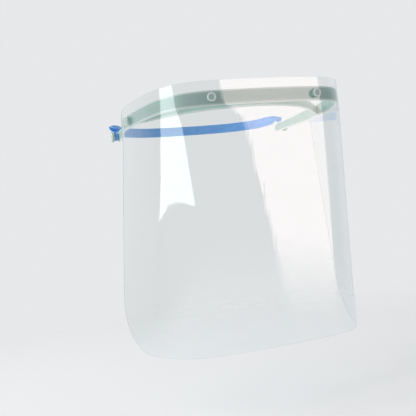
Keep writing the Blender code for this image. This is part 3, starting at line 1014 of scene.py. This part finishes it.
def strap_webbing(material):
    """The worn strap: round cords lengthwise, thin rounded edges and gathered ends."""
    frames = strap_frames()
    shares = [-1 + 2 * k / STRAP_STEPS for k in range(STRAP_STEPS + 1)]
    around = [(u, 1) for u in shares] + [(u, -1) for u in reversed(shares)]
    rings = []
    for frame_at in frames:
        ring = []
        for u, face in around:
            cords = abs(math.sin(math.pi * u * STRAP_WIDTH / 2 / CORD_PITCH))
            into_edge = max(abs(u) - SELVAGE_FROM, 0.0) / (1 - SELVAGE_FROM)
            full = math.sqrt(max(1 - into_edge**2, 0.0))
            lift = face * (WEBBING_THICK / 2 * (SELVAGE_THIN + (1 - SELVAGE_THIN) * full)
                           + CORD_RELIEF * cords * full * frame_at[3])
            ring.append(strap_point(frame_at, u, lift))
        rings.append(ring)

    def uvs(row, column):
        return weave_place(around[column % len(around)][0], frames[row][4])
    piece = loft("strap_webbing", rings, uvs=uvs)
    finish_piece(piece, material, "strap", ("elastic_strap",))


def strap_end(side, word, material):
    """The strap's end round the stem: a full turn of gathered elastic, crowned across."""
    centre = Vector((side * loop_x(), KNOB_Y, KNOB_Z))
    mid = (LOOP_BORE + LOOP_RADIUS) / 2
    thick = (LOOP_RADIUS - LOOP_BORE) / 2 - END_PLAY
    rings = []
    for angle in full_turn(END_AROUND):
        out = Vector((0.0, math.cos(angle), math.sin(angle)))
        ring = []
        for turn in full_turn(END_SECTION):
            u, v = math.cos(turn), math.sin(turn)
            u = math.copysign(abs(u) ** END_SQUARE_WIDE, u)
            v = math.copysign(abs(v) ** END_SQUARE_HIGH, v)
            fold = END_GATHER * math.cos(END_GATHERS * math.pi * u) if v > 0 else 0.0
            ring.append(centre + Vector((side * u * LOOP_WIDTH / 2, 0.0, 0.0))
                        + out * (mid + v * thick + fold))
        rings.append(ring)

    def uvs(row, column):
        u = math.cos(2 * math.pi * (column % END_SECTION) / END_SECTION)
        return weave_place(u, row * 2 * math.pi * mid / END_AROUND)
    piece = loft(f"{word}_strap_end", rings, uvs=uvs, closed=True)
    finish_piece(piece, material, "strap", (f"{word}_strap_loop",))


def thread(points, radius, name):
    """A round thread along points."""
    rings = []
    for i, point in enumerate(points):
        ahead = (points[min(i + 1, len(points) - 1)] - points[max(i - 1, 0)]).normalized()
        level = level if i else ahead.orthogonal().normalized()
        level = (level - ahead * level.dot(ahead)).normalized()
        other = ahead.cross(level)
        rings.append([point + (level * math.cos(a) + other * math.sin(a)) * radius
                      for a in full_turn(8)])
    return loft(name, rings)


def bar_tack(side, word, material):
    """Zigzag stitching through the doubled strap, just behind the loop."""
    frames = strap_frames()[::-side]
    steps = TACK_TURNS * TACK_STEPS
    points = []
    for i in range(steps + 1):
        along = TACK_FROM + TACK_RUN * i / steps
        low = int(along)
        a, b, t = frames[low], frames[low + 1], along - low
        between = [a[k].lerp(b[k], t) for k in range(3)] + [a[3] + (b[3] - a[3]) * t]
        phase = math.pi * i / TACK_STEPS
        lift = -side * (TACK_LIFT + TACK_ARCH * abs(math.sin(phase)))
        points.append(strap_point(between, TACK_WIDE * math.cos(phase), lift))
    piece = thread(points, THREAD_RADIUS, f"{word}_bar_tack")
    finish_piece(piece, material, "strap", ())


# ---- build -----------------------------------------------------------------------------------

bpy.context.scene.view_settings.view_transform = "Standard"
add_camera()
add_world()
add_floor()
# the sheet mirrors a window at the camera's left and a tall slanting wall at its right
add_card("left window in gloss", WINDOW_CARD, 3.0, rgba(0.95, 1.0, 0.99))
add_card("right wall in gloss", WALL_CARD, 2.6, rgba(1.0, 0.83, 0.79))
add_panel("key", -84, 34, 1.6, (1.1, 1.1), 14, glossy=False)
add_panel("fill", 20, 36, 1.7, (1.3, 1.3), 1.4, glossy=False)
add_panel("back light", 150, 46, 1.5, (1.2, 0.9), 4)

# each plastic's last colour is the painted highlight on its thin edges and rims
mint = moulded_material("milky mint plastic", rgba(0.61, 0.77, 0.71), rgba(0.49, 0.65, 0.60),
                        rgba(0.93, 0.99, 0.96), roughness=0.36, glow=0.14)
pale = moulded_material("milky mint studs", rgba(0.52, 0.70, 0.64), rgba(0.43, 0.60, 0.54),
                        rgba(0.92, 0.98, 0.95), roughness=0.27, glow=0.14)
# each elastic's second colour is painted shade in the weave's valleys, and its third is a painted
# highlight on the crowns that also lightens worn patches
blue = elastic_material("blue woven elastic", rgba(0.17, 0.51, 1.0), rgba(0.09, 0.36, 0.98),
                        rgba(0.57, 0.80, 1.0))
yarn = elastic_material("blue sewing thread", rgba(0.15, 0.50, 1.0), rgba(0.08, 0.32, 0.96),
                        rgba(0.42, 0.66, 1.0))

outer_band(mint)
forehead_rest(mint)
gate_mark(mint)
for side, word in SIDES:
    for kind in STUD_ARCS:
        stud(side, word, kind, pale)
    strap_knob(side, word, pale)
    strap_end(side, word, blue)
    bar_tack(side, word, yarn)
visor_sheet(clear_material(), cut_edge_material())
strap_webbing(blue)
